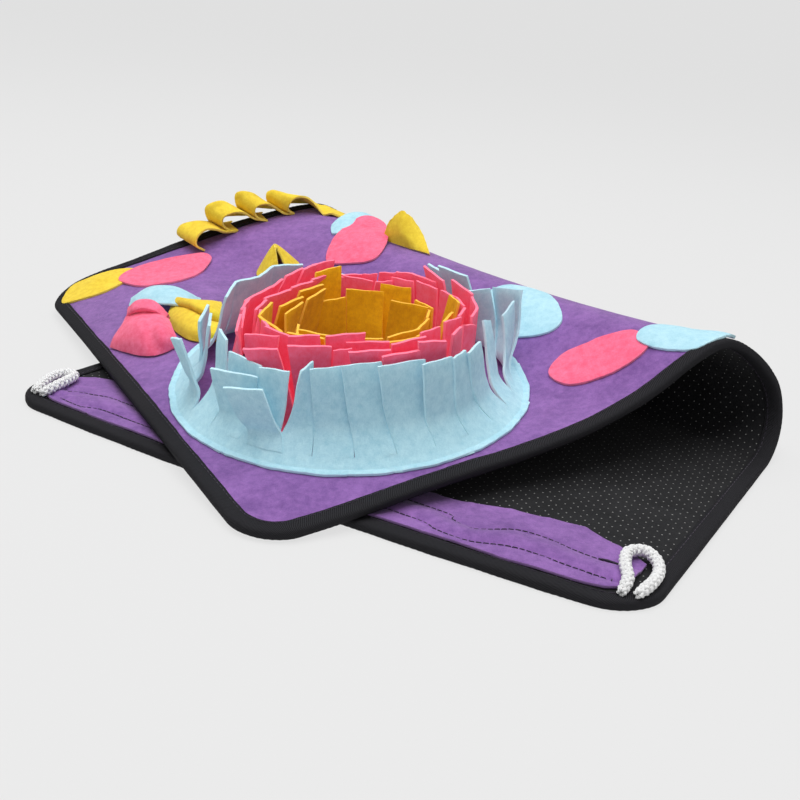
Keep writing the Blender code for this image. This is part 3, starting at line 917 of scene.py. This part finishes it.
@dataclass
class FlapRing:
    """A strip sewn down in a circle and slit into flaps that stand up."""

    name: str
    node: str
    slot: Slot
    flaps: int
    # radius and height up a standing flap, then up one that is bent inwards
    profile: tuple
    seed: int
    foot_rows: int = 2
    slit: float = 0.5
    thick: float = 1.8
    yaw: float = 3.0
    lean: float = 1.4
    uneven: float = 1.8
    ease: float = 1.1  # how late on its way up a flap turns to its top corners
    groove: tuple = (0.7, 4.2, 0.9)  # the edge seam's depth, its distance from the edge and its width
    columns: int = 7  # cells of the foot for each flap, the last one under the slit
    first: float = 0.0
    bent_towards: float = 45.0
    special: tuple = ()
    centre: tuple = (136.5, 136.5)
    base: float = 3.5

    def point(self, turn: Array, radius: Array, height: Array) -> Array:
        """Flat places and heights from turns about the flower's middle."""
        u = self.centre[0] + radius * np.cos(np.radians(turn))
        v = self.centre[1] + radius * np.sin(np.radians(turn))
        return np.stack([u, v, np.broadcast_to(height, u.shape)], axis=1)

    def stand(self, turn: Array, up: Array) -> Array:
        """The plain ring's flat places and heights; up runs over the profile's rows."""
        table = np.array(self.profile, float)
        rows = weights(len(table), up) @ table
        bend = np.clip(np.cos(np.radians(turn - self.bent_towards)), 0, 1) ** 1.5
        radius, height = (rows[:, c] + (rows[:, c + 2] - rows[:, c]) * bend for c in (0, 1))
        return self.point(turn, radius, self.base + height)

    def put(self, places: Array, flat: Array) -> tuple[Array, Array]:
        """Puts flat places and heights on the mat."""
        return MAT.place(places[:, 0], places[:, 1], places[:, 2]), flat

    def flap(self, cloth: Cloth, index: float, special: Flap | None) -> None:
        """Adds one flap, from its foot up."""
        draw = random.Random(self.seed * 1000 + index)
        width = 360.0 / self.flaps
        start = self.first + width * index
        span = width * (1 - self.slit / (math.radians(width) * self.profile[self.foot_rows][0]))
        foot = self.foot_rows / (len(self.profile) - 1)
        corners = np.array([start, start + span])
        top = self.stand(corners, np.ones(2))
        if special:
            top = np.concatenate([
                self.point(np.array([turn]), np.array([radius]), np.array([self.base + height]))
                for turn, radius, height in (special.low, special.high)
            ])
            drop, bulge, shove = 0.0, special.bulge, special.out
        else:
            facing = math.radians(start + span / 2)
            out = np.array([math.cos(facing), math.sin(facing)])
            across = np.array([-out[1], out[0]])
            lean, slip = draw.uniform(-1, 1) * self.lean, draw.uniform(-1, 1) * self.lean
            top[:, :2] += out * lean + across * slip
            top[0, :2] -= out * self.yaw * draw.uniform(0.3, 1.0)
            top[1, :2] += out * self.yaw * draw.uniform(0.3, 1.0)
            top[:, 2] += draw.uniform(-1, 0.6) * self.uneven + np.array([-1, 1]) * draw.uniform(-0.8, 0.8)
            drop, bulge, shove = draw.uniform(-0.5, 0.5), draw.uniform(-1.0, 1.0), 0.0
        wave, phase = draw.uniform(0.5, 1.2), draw.uniform(0, 6.28)
        middle = self.stand(np.array([start + span / 2]), np.ones(1))[0]
        push = middle[:2] - np.array(self.centre)
        push = push / np.linalg.norm(push)
        tall = math.dist(top[0], self.stand(corners[:1], np.array([foot]))[0])
        wide = math.dist(top[0], top[1])

        def layout(s: Array, t: Array) -> tuple[Array, Array]:
            turn = start + span * s
            places = self.stand(turn, foot + (1 - foot) * t)
            plain = self.stand(turn, np.ones_like(t))
            aim = top[0] + (top[1] - top[0]) * s[:, None]
            places += (aim - plain) * (t**self.ease)[:, None]
            arch = 4 * s * (1 - s)
            places[:, 2] -= drop * arch * t + 0.22 * np.sin(9 * s + phase) * t**4
            belly = bulge * arch + wave * 0.5 * np.sin(4.2 * t + phase)
            out = shove * (1 - t) + belly * np.sin(math.pi * t)
            places[:, :2] += push * out[:, None]
            flat = np.stack([wide * (s + index), tall * t], axis=1)
            return self.put(places, flat)

        cloth.add(self.columns - 1, 14, layout)

    def build(self, palette: Palette) -> bpy.types.Object:
        """Makes the strip with its flaps, welded along their feet."""
        cloth = Cloth(self.name)
        special = {flap.index: flap for flap in self.special}
        width = 360.0 / self.flaps
        foot = self.foot_rows / (len(self.profile) - 1)
        share = 1 - self.slit / (math.radians(width) * self.profile[self.foot_rows][0])
        depth, inset, wide = self.groove

        def rim(s: Array, t: Array) -> tuple[Array, Array]:
            part, last = s * self.flaps * self.columns, self.columns - 1
            flap, step = np.floor(part / self.columns + 1e-6), (part + 1e-6) % self.columns
            within = np.where(step <= last, step / last * share, share + (step - last) * (1 - share))
            turn = self.first + width * (flap + within)
            places = self.stand(turn, foot * t)
            ragged = 0.5 * wander((turn / 360) % 1, 23, self.seed) * (1 - t)
            reach = np.linalg.norm(places[:, :2] - np.array(self.centre), axis=1)
            places[:, 2] -= depth * np.exp(-(((reach - self.profile[0][0] + inset) / wide) ** 2))
            places[:, :2] += (places[:, :2] - np.array(self.centre)) / 100 * ragged[:, None]
            flat = np.stack([np.radians(turn) * self.profile[0][0], -8 + 8 * t], axis=1)
            return self.put(places, flat)

        cloth.add(self.flaps * self.columns, 12, rim)
        for index in sorted({*range(self.flaps), *special}):
            self.flap(cloth, index, special.get(index))
        # the flower's yellow and pink flaps take copies of their felt in painted shade, with a painted glow
        piece = cloth.finish(palette.of(self.slot, standing=True), self.thick, weld=0.06)
        attach(piece, self.slot, self.node)
        return piece


# ---- felt shapes sewn on the face


@dataclass
class Patch:
    """A smooth piece of felt through a small net of flat places and heights over the cloth."""

    name: str
    node: str  # the solid that it stands for, or nothing where it is a part of another piece's solid
    slot: Slot
    net: tuple
    columns: int = 40
    rows: int = 24
    thick: float = 1.8
    held: str = "folded"
    ragged: float = 0.3

    def build(self, palette: Palette) -> bpy.types.Object:
        """Makes the piece."""
        net = np.array(self.net, float)

        def points(s: Array, t: Array) -> Array:
            across, along = weights(net.shape[1], s), weights(net.shape[0], t)
            places = np.einsum("nr,nc,rcx->nx", along, across, net)
            rim = 1 - np.minimum(1, 14 * np.minimum.reduce([s, 1 - s, t, 1 - t]))
            places[:, :2] += (self.ragged * rim * wander((s + 2 * t) / 3, 7, 4))[:, None]
            return MAT.place(places[:, 0], places[:, 1], places[:, 2])

        size = unrolled(points)
        cloth = Cloth(self.name)
        cloth.add(self.columns, self.rows,
                  lambda s, t: (points(s, t), np.stack([s * size[0], t * size[1]], axis=1) / MM))
        made = cloth.finish(palette.of(self.slot), self.thick)
        piece = attach(made, self.slot, *([self.node] if self.node else []))
        return piece


@dataclass
class Petal:
    """A flat felt shape within a smooth outline, raised here and there."""

    name: str
    node: str
    slot: Slot
    outline: tuple  # flat u and v round its edge
    base: float = ON_FELT
    # u, v, rise and reach of each soft lift
    lifts: tuple = ()
    thick: float = 1.8
    cells: int = 34

    def build(self, palette: Palette) -> bpy.types.Object:
        """Makes the piece."""
        edge = smooth_line(self.outline, 360, closed=True)
        middle = edge.mean(axis=0)
        arm = edge - middle
        turn = np.unwrap(np.arctan2(arm[:, 1], arm[:, 0]))
        if turn[-1] < turn[0]:
            arm, turn = arm[::-1], turn[::-1]
        reach = np.linalg.norm(arm, axis=1)

        def layout(s: Array, t: Array) -> tuple[Array, Array]:
            a, b = 2 * s - 1, 2 * t - 1
            x, y = a * np.sqrt(1 - b * b / 2), b * np.sqrt(1 - a * a / 2)
            share = np.hypot(x, y)
            way = np.mod(np.arctan2(y, x) - turn[0], math.tau) + turn[0]
            radius = np.interp(way, turn, reach)
            radius = radius + 0.35 * wander((way - turn[0]) / math.tau, 7, 3) * share
            u, v = middle[0] + radius * share * np.cos(way), middle[1] + radius * share * np.sin(way)
            height = self.base + 0.15 * wander(s * 0.5 + t * 0.3, 3, 6)
            for lift_u, lift_v, rise, spread in self.lifts:
                height = height + rise * np.exp(-((u - lift_u) ** 2 + (v - lift_v) ** 2) / spread**2)
            return MAT.place(u, v, height), np.stack([u, v], axis=1)

        cloth = Cloth(self.name)
        cloth.add(self.cells, self.cells, layout)
        piece = attach(cloth.finish(palette.of(self.slot), self.thick), self.slot, self.node)
        return piece


def cone_net(centre: tuple, radius: float, height: float, facing: float, wrap: float,
             tip: tuple[float, float]) -> tuple:
    """A net for a square of felt that is rolled to a standing cone.

    Args:
        centre: flat place of its foot's middle.
        radius: its radius at the foot.
        height: height of its tip over its foot.
        facing: the way that its slit faces, in degrees.
        wrap: how far it is wrapped each way from its back, in degrees.
        tip: how far its tip leans in u and v.

    Returns:
        Rows of flat places and heights, from its foot up.
    """
    rows = []
    for rise in (0.0, 0.3, 0.62, 0.88, 1.0):
        row = []
        for k in range(9):
            turn = math.radians(facing + 180 + wrap * (k / 4 - 1))
            wide = radius * (1 - rise) ** 0.85 + 0.6 + (1.2 if k in (0, 8) else 0)
            row.append((centre[0] + wide * math.cos(turn) + tip[0] * rise,
                        centre[1] + wide * math.sin(turn) + tip[1] * rise, 3.1 + height * rise))
        rows.append(tuple(row))
    return tuple(rows)


# near edge's u, v and height, then the far edge's, along a ribbon that is tacked between its waves
FRILL = (
    (422, 138, 3.2, 449, 130, 3.2), (421, 131, 11, 449, 124, 12), (423, 134, 18, 450, 129, 18),
    (427, 144, 20, 450, 142, 17), (429, 154, 15.5, 450, 154, 12), (432, 163, 8, 450, 163, 7),
    (435, 176, 3, 450, 174, 3.2), (435, 169, 6, 450, 163, 6), (435, 163, 14, 450, 154, 18),
    (435, 165, 21, 450, 155, 28), (435, 175, 22, 450, 168, 28), (435, 185, 18, 450, 178, 20),
    (435, 194, 9, 450, 189, 10), (435, 206, 3, 450, 205, 3.2), (435, 199, 7, 450, 192, 7),
    (435, 195, 14, 450, 183, 22), (435, 198, 20, 450, 185, 31), (435, 208, 19, 450, 198, 26),
    (435, 216, 13, 450, 207, 17), (435, 224, 5, 450, 217, 8), (434, 233, 3, 450, 232, 3.2),
    (433, 228, 7, 450, 220, 7), (432, 228, 13, 450, 213, 18), (430, 234, 19, 450, 217, 23),
    (428, 243, 19, 449, 232, 16), (425, 250, 13, 448, 245, 10), (419, 255, 5, 446, 257, 5),
    (416, 257, 3.2, 441, 260, 3.4), (411, 262, 5.2, 434, 265, 5), (404, 268, 3.4, 425, 271, 3.6),
    (399, 273, 3.2, 418, 276, 3.2),
)


def frill_net() -> tuple:
    """The ribbon's net: its near edge, two rows between, its far edge and a hem turned down behind."""
    rows = tuple(
        tuple(tuple(a + (b - a) * share for a, b in zip(row[:3], row[3:])) for row in FRILL)
        for share in (0.0, 0.33, 0.67, 1.0)
    )
    return (*rows, tuple((row[3] + 3, row[4] + 3, 2 + 0.3 * row[5]) for row in FRILL))


# ---- the whole mat


# each flap: its number, the turn, radius and height of its two top corners, then its bulge and shove
BLUE_FLAPS = flaps(
    (5, 67, 129, 55, 73, 125, 54), (6, 73, 125, 59, 85, 129, 55), (7, 87, 120, 47, 91, 137, 45),
    (8, 90, 141, 42, 100, 151, 45, 2.0), (9, 103, 138, 46, 110, 117, 45), (10, 122, 96, 50, 130, 86, 53),
    (11, 152, 94, 52, 164, 98, 52), (12, 164, 95, 53, 172, 98, 53), (13, 172, 96, 53, 185, 99, 55),
    (14, 182, 92, 54, 200, 96, 56), (15, 198, 89, 55, 212, 95, 57), (16, 210, 90, 54, 222, 97, 55),
    (17, 222, 91, 57, 225, 97, 53), (18, 229, 97, 52, 241, 96, 50),
    (17.7, 236, 108, 43, 247, 117, 43, 0, 0.8), (18.9, 242, 92, 48, 260, 90, 48, 0, -1.5),
    (19, 241, 98, 44, 258, 107, 44), (20, 262, 89, 54, 272, 86, 54), (21, 276, 109, 51, 281, 113, 49),
    (22, 277, 90, 54, 283, 87, 58), (23, 284, 94, 53, 291, 88, 58), (24, 309, 84, 50, 322, 87, 53),
    (25, 322, 87, 53, 333, 82, 52), (26, 333, 82, 52, 346, 91, 54), (27, 346, 91, 54, 359, 88, 54),
)
PINK_OUTER = flaps(
    (0, 0, 76, 57, 12, 81, 60), (1, 15, 74, 51, 27, 76, 53), (2, 27, 76, 53, 39, 77, 56),
    (3, 41, 80, 57, 54, 88, 58), (4, 54, 87, 59, 64, 93, 60), (5, 64, 93, 60, 80, 92, 59),
    (6, 71, 104, 66, 85, 93, 62), (7, 90, 96, 65, 110, 89, 63), (8, 112, 86, 62, 122, 84, 58),
    (9, 124, 82, 60, 136, 78, 57), (10, 138, 82, 53, 147, 77, 56), (11, 152, 79, 58, 165, 85, 60),
    (12, 172, 90, 61, 184, 88, 64), (13, 183, 88, 58, 198, 90, 59), (14, 194, 85, 60, 210, 85, 60),
    (15, 209, 74, 56, 217, 75, 55), (16, 217, 79, 60, 232, 88, 63), (17, 238, 84, 57, 250, 92, 56),
    (18, 244, 72, 57, 259, 80, 56), (19, 266, 80, 54, 277, 72, 57), (20, 272, 74, 51, 286, 68, 56),
    (21, 289, 70, 53, 299, 66, 55), (22, 303, 70, 51, 324, 63, 52), (23, 325, 66, 49, 338, 68, 52),
    (24, 341, 69, 53, 354, 73, 56), (25, 353, 70, 56, 2, 75, 58),
)
PINK_INNER = flaps(
    (0, 5, 62, 52, 17, 64, 52), (1, 15, 64, 53, 34, 63, 52), (2, 36, 62, 52, 51, 75, 54),
    (3, 50, 78, 56, 66, 83, 56), (4, 68, 85, 57, 84, 81, 57), (5, 88, 79, 58, 102, 77, 58),
    (6, 104, 76, 59, 118, 73, 57), (7, 121, 72, 57, 136, 69, 56), (8, 137, 71, 56, 153, 67, 58),
    (9, 157, 66, 56, 173, 67, 57), (10, 174, 74, 58, 192, 76, 58), (11, 192, 72, 58, 212, 70, 58),
    (12, 203, 68, 63, 221, 71, 62), (13, 225, 67, 60, 238, 74, 60), (14, 240, 68, 56, 257, 68, 57),
    (15, 257, 66, 56, 270, 62, 54), (16, 272, 63, 54, 288, 59, 52), (17, 290, 62, 51, 307, 58, 50),
    (18, 309, 60, 50, 330, 53, 50), (19, 332, 54, 51, 351, 54, 52), (20, 352, 57, 52, 3, 60, 54),
)
YELLOW_OUTER = flaps(
    (0, 356, 60, 56, 13, 64, 60), (1, 18, 60, 43, 40, 63, 43), (2, 40, 60, 52, 65, 76, 52),
    (3, 72, 64, 47, 92, 60, 47), (4, 104, 68, 60, 119, 67, 59), (5, 121, 63, 53, 140, 60, 52),
    (6, 146, 60, 51, 168, 58, 50), (7, 172, 63, 52, 195, 61, 51), (8, 198, 59, 52, 222, 60, 54),
    (9, 225, 60, 54, 248, 61, 53), (10, 251, 62, 53, 273, 63, 55), (11, 276, 62, 54, 298, 53, 52),
    (12, 303, 49, 47, 328, 42, 48), (13, 330, 46, 50, 356, 48, 51),
)
YELLOW_INNER = flaps(
    (0, 352, 44, 40, 15, 46, 42), (1, 15, 46, 48, 45, 52, 48), (2, 58, 42, 46, 94, 52, 48),
    (3, 96, 52, 47, 116, 46, 46), (4, 118, 47, 46, 150, 46, 47), (5, 152, 48, 48, 186, 51, 50),
    (6, 188, 48, 48, 217, 50, 49), (7, 220, 50, 50, 250, 50, 50), (8, 252, 50, 46, 270, 40, 45),
    (9, 294, 45, 45, 318, 38, 47), (10, 326, 38, 47, 354, 42, 50),
)


def rings() -> list[FlapRing]:
    """The five rings of the flower, from the outside in."""
    return [
        FlapRing("flaps_blue", "ring_blue", Slot.BLUE, 28, (
            (123, 0, 123, 0), (117.5, 0.8, 117.5, 0.8), (112, 4.5, 112, 4.5),
            (105.5, 10.5, 107, 8.5), (101, 17, 104, 13), (99.5, 24, 101, 20),
            (98, 33, 98, 28), (97, 46, 94, 37), (95.5, 57, 90, 45),
        ), 11, yaw=3.0, lean=2.6, uneven=3, first=2, special=BLUE_FLAPS),
        FlapRing("flaps_pink_outer", "ring_pink_outer", Slot.PINK, 26, (
            (90, 0, 90, 0), (84.5, 0.5, 84.5, 0.5), (82.3, 5, 82.3, 5),
            (82, 25, 79.5, 22), (82.5, 46, 77, 38), (83.5, 68, 75, 54),
        ), 22, first=-3, special=PINK_OUTER),
        FlapRing("flaps_pink_inner", "ring_pink_inner", Slot.PINK, 21, (
            (78, 0, 78, 0), (72.5, 0.5, 72.5, 0.5), (70.3, 5, 70.3, 5),
            (70, 25, 68, 22), (70.5, 46, 66.5, 37), (71.5, 67, 65, 53),
        ), 33, special=PINK_INNER),
        FlapRing("flaps_yellow_outer", "ring_yellow_outer", Slot.YELLOW, 14, (
            (66.5, 0, 66.5, 0), (61, 0.5, 61, 0.5), (58.8, 5, 58.8, 5),
            (58.5, 24, 57, 20), (59, 44, 56, 35), (59.5, 64, 55, 51),
        ), 44, first=-7.4, special=YELLOW_OUTER),
        FlapRing("flaps_yellow_inner", "ring_yellow_inner", Slot.YELLOW, 11, (
            (55, 0, 55, 0), (49.5, 0.5, 49.5, 0.5), (47.3, 5, 47.3, 5),
            (46.5, 20, 46, 18), (46, 36, 45, 31), (46, 53, 44, 46),
        ), 55, first=-10.4, special=YELLOW_INNER),
    ]


def felt_shapes() -> list[Patch | Petal]:
    """Every petal, pocket and folded square on the face."""
    return [
        Petal("tongue_felt", "tongue_yellow", Slot.YELLOW, (
            (419, 6), (443, 20), (443, 38), (439, 60), (427, 74), (409, 64), (399, 44), (401, 28),
        ), lifts=((424, 40, 2.0, 14),)),
        Petal("oval_pink_behind", "oval_pink_back", Slot.PINK, (
            (411, 55), (422, 63), (428, 74), (430, 90), (427, 107), (422, 122), (416, 135),
            (405, 138), (393, 129), (383, 117), (378, 106), (376, 90), (381, 70), (393, 60),
        ), lifts=((416, 62, 1.4, 17), (410, 132, 1.6, 18))),
        Petal("oval_pink_side", "oval_pink_right", Slot.PINK, (
            (73, 260), (81, 278), (73, 298), (59, 322), (39, 322), (33, 308), (37, 284), (51, 260),
        ), lifts=((60, 290, 0.8, 20),)),
        Petal("petal_blue_side", "petal_blue_right", Slot.BLUE, (
            (181, 280), (183, 308), (153, 320), (113, 306), (107, 290), (125, 272), (151, 262),
        ), lifts=((150, 292, 1.0, 26),)),
        Petal("oval_blue_top", "oval_blue_crest", Slot.BLUE, (
            (47, 318), (53, 334), (37, 354), (9, 370), (5, 334), (29, 318),
        ), base=3.4, lifts=((12, 366, 3.2, 16), (40, 322, 2.0, 9))),
        Petal("petal_pink_behind", "petal_pink_back", Slot.PINK, (
            (339, 222), (373, 258), (383, 292), (341, 286), (305, 256), (317, 234),
        ), lifts=((383, 290, 8.0, 26), (345, 256, 3.5, 24), (336, 282, 5.0, 14))),
        Patch("petal_blue_behind", "petal_blue_back", Slot.BLUE, (
            ((372, 244, 3.2), (380, 247, 3.6), (385, 250, 5)),
            ((364, 254, 4), (378, 257, 7), (390, 262, 9)),
            ((358, 270, 4), (378, 274, 8), (394, 279, 11)),
            ((356, 286, 4), (374, 292, 9), (398, 298, 12)),
            ((360, 296, 4), (374, 299, 8), (388, 303, 10)),
        )),
        Patch("awning_blue", "petal_blue_left", Slot.BLUE, (
            ((324, 40, 3.2), (322, 45, 8), (314, 53, 12), (304, 62, 13), (297, 73, 11), (304, 87, 3.6)),
            ((340, 44, 6), (331, 50, 14), (325, 61, 17), (316, 73, 17), (311, 83, 13), (313, 92, 5)),
            ((352, 48, 4), (350, 56, 10), (345, 66, 14), (334, 79, 14), (326, 89, 9), (322, 96, 3.8)),
            ((362, 51, 3.2), (368, 61, 3.2), (368, 72, 3.2), (356, 85, 3.2), (341, 92, 3.2), (326, 98, 3.2)),
        )),
        Patch("bell_pocket", "pocket_pink", Slot.PINK, (
            ((286, 11, 3.2), (269, 17, 3.2), (251, 24, 3.2), (242, 32, 3.2), (241, 41, 3.2), (244, 50, 3.2)),
            ((287, 17, 9), (268, 22, 11), (254, 29, 12), (249, 35, 11), (243, 41, 12), (247, 51, 9)),
            ((290, 25, 13), (276, 29, 17), (266, 34, 19), (260, 39, 18), (253, 44, 18), (257, 52, 13)),
            ((297, 31, 15), (291, 36, 18), (285, 41, 19), (280, 45, 19), (275, 49, 18), (269, 54, 14)),
            ((296, 33, 18), (288, 36, 22), (282, 41, 24), (278, 45, 23), (275, 49, 20), (273, 53, 14)),
            ((299, 36, 21), (295, 41, 25), (290, 46, 26), (285, 50, 25), (281, 53, 21), (277, 56, 15)),
            ((300, 38, 14), (300, 42, 16), (297, 47, 17), (292, 51, 16), (286, 54, 15), (278, 57, 11)),
        )),
        Patch("cone_pocket", "pocket_yellow", Slot.YELLOW, (
            ((291, 60, 3.2), (271, 58, 3.2), (251, 60, 3.2), (239, 67, 3.2), (233, 77, 3.2)),
            ((297, 62, 6), (273, 62, 9), (251, 64, 10), (238, 70, 10), (233, 78, 9)),
            ((306, 67, 8), (280, 69, 13), (256, 71, 14), (246, 75, 13), (240, 80, 12)),
            ((308, 69, 7), (284, 73, 12), (262, 76, 13), (251, 79, 12), (245, 84, 11)),
            ((308, 71, 4), (288, 76, 5), (268, 79, 5), (257, 82, 5), (251, 87, 5)),
        ), rows=30),
        Patch("cone_upper", "", Slot.YELLOW, (
            ((309, 73, 5), (288, 78, 6), (272, 81, 6), (262, 85, 6), (257, 91, 6)),
            ((307, 71, 9), (284, 75, 11), (267, 78, 11), (256, 82, 10), (252, 88, 10)),
            ((303, 70, 13), (277, 73, 18), (262, 76, 19), (256, 82, 18), (257, 90, 15)),
            ((313, 73, 13), (288, 76, 18), (278, 82, 19), (278, 90, 17), (283, 99, 13)),
            ((324, 78, 5), (311, 83, 6), (304, 90, 6), (301, 98, 5), (300, 106, 4)),
        ), rows=30),
        Patch("frill_ribbon", "frill_yellow", Slot.YELLOW, frill_net(), columns=230, rows=16,
              held="gathered"),
        Patch("square_yellow_middle", "fold_yellow_middle", Slot.YELLOW,
              cone_net((354, 181), 18.5, 22.0, 188, 166, (6, 3)), rows=24),
        Patch("square_yellow_behind", "fold_yellow_back", Slot.YELLOW, (
            ((335, 276, 3.6), (316, 282, 3.4), (302, 287, 3.4), (291, 291, 3.4), (282, 294, 3.4)),
            ((331, 277, 12), (322, 280, 13), (309, 284, 13), (301, 291, 11), (294, 296, 9)),
            ((329, 279, 21), (326, 281, 22), (316, 284, 22), (309, 290, 19), (306, 296, 16)),
            ((325, 284, 28), (324, 285, 30), (322, 286, 31), (319, 288, 29), (317, 291, 26)),
        )),
    ]


@dataclass
class Studio:
    """The pale floor, the soft lights and the camera."""

    lens: float = 49.6
    place_mm: tuple[float, float, float] = (13.8, -774.9, 290.86)
    forward: tuple[float, float, float] = (0.0, 0.9348, -0.3551)
    roll: float = 5.7
    pale: Colour = (0.811, 0.811, 0.811)
    floor_shade: Colour = (0.10, 0.10, 0.10)
    floor_glow: float = 0.875
    room_glow: float = 0.45
    floor_reach: float = 30.0
    sweep_from: float = 8.0
    sweep_rate: float = 0.012
    lamps: tuple = (
        # name, place, the point it is turned to, size, power
        ("top_box", (-0.1, -0.05, 2.0), (0, 0, 0), 2.0, 45.5),
        ("front_fill", (-0.6, -2.0, 1.3), (0, 0, 0.05), 1.6, 2.0),
    )

    def floor(self) -> None:
        """A wide pale floor that sweeps up far behind, partly lit from within, as in a light tent."""
        mesh = bmesh.new()
        bmesh.ops.create_grid(mesh, x_segments=2, y_segments=60, size=self.floor_reach)
        for corner in mesh.verts:
            corner.co.z = self.sweep_rate * max(0.0, corner.co.y - self.sweep_from) ** 2
        data = bpy.data.meshes.new("floor")
        mesh.to_mesh(data)
        mesh.free()
        tree = Tree("pale_floor")
        tree.set(Base_Color=self.floor_shade, Roughness=1.0, Specular_IOR_Level=0.0)
        tree.set(Emission_Color=self.pale, Emission_Strength=self.floor_glow)
        data.materials.append(tree.material)
        in_scene("floor", data)

    def light(self, name: str, where: tuple, aim: tuple, size: float, power: float) -> None:
        """One soft square light, turned to a point."""
        data = bpy.data.lights.new(name, "AREA")
        data.energy, data.size = power, size
        lamp = in_scene(name, data)
        lamp.location = where
        lamp.rotation_euler = (Vector(aim) - Vector(where)).to_track_quat("-Z", "Y").to_euler()

    def build(self) -> None:
        """Makes the floor, lights, world and camera."""
        self.floor()
        for lamp in self.lamps:
            self.light(*lamp)
        world = bpy.data.worlds.new("pale_room")
        bpy.context.scene.world = world
        world.use_nodes = True
        back = world.node_tree.nodes["Background"]
        back.inputs[0].default_value = (*self.pale, 1.0)
        back.inputs[1].default_value = self.room_glow
        data = bpy.data.cameras.new("camera")
        data.lens, data.sensor_width, data.clip_end = self.lens, 36.0, 60.0
        camera = in_scene("camera", data)
        forward = Vector(self.forward).normalized()
        right = forward.cross(Vector((0, 0, 1))).normalized()
        turn = Matrix((right, right.cross(forward), -forward)).transposed()
        turn = turn @ Matrix.Rotation(math.radians(self.roll), 3, "Z")
        camera.matrix_world = Matrix.Translation(Vector(self.place_mm) * MM) @ turn.to_4x4()
        bpy.context.scene.camera = camera
        bpy.context.scene.view_settings.view_transform = "Standard"


def main() -> None:
    """Builds the whole picture."""
    logging.basicConfig(level=logging.INFO, format="%(message)s")
    palette = Palette()
    MatLayers(palette).build()
    CordCasing(palette).build()
    for ring in rings():
        ring.build(palette)
    for shape in felt_shapes():
        shape.build(palette)
    Studio().build()


def plain(box: Sequence[Sequence[float]]) -> list[list[float]]:
    """A box as plain lists of numbers."""
    return [[float(value) for value in corner] for corner in box]


if __name__ == "__main__":
    main()
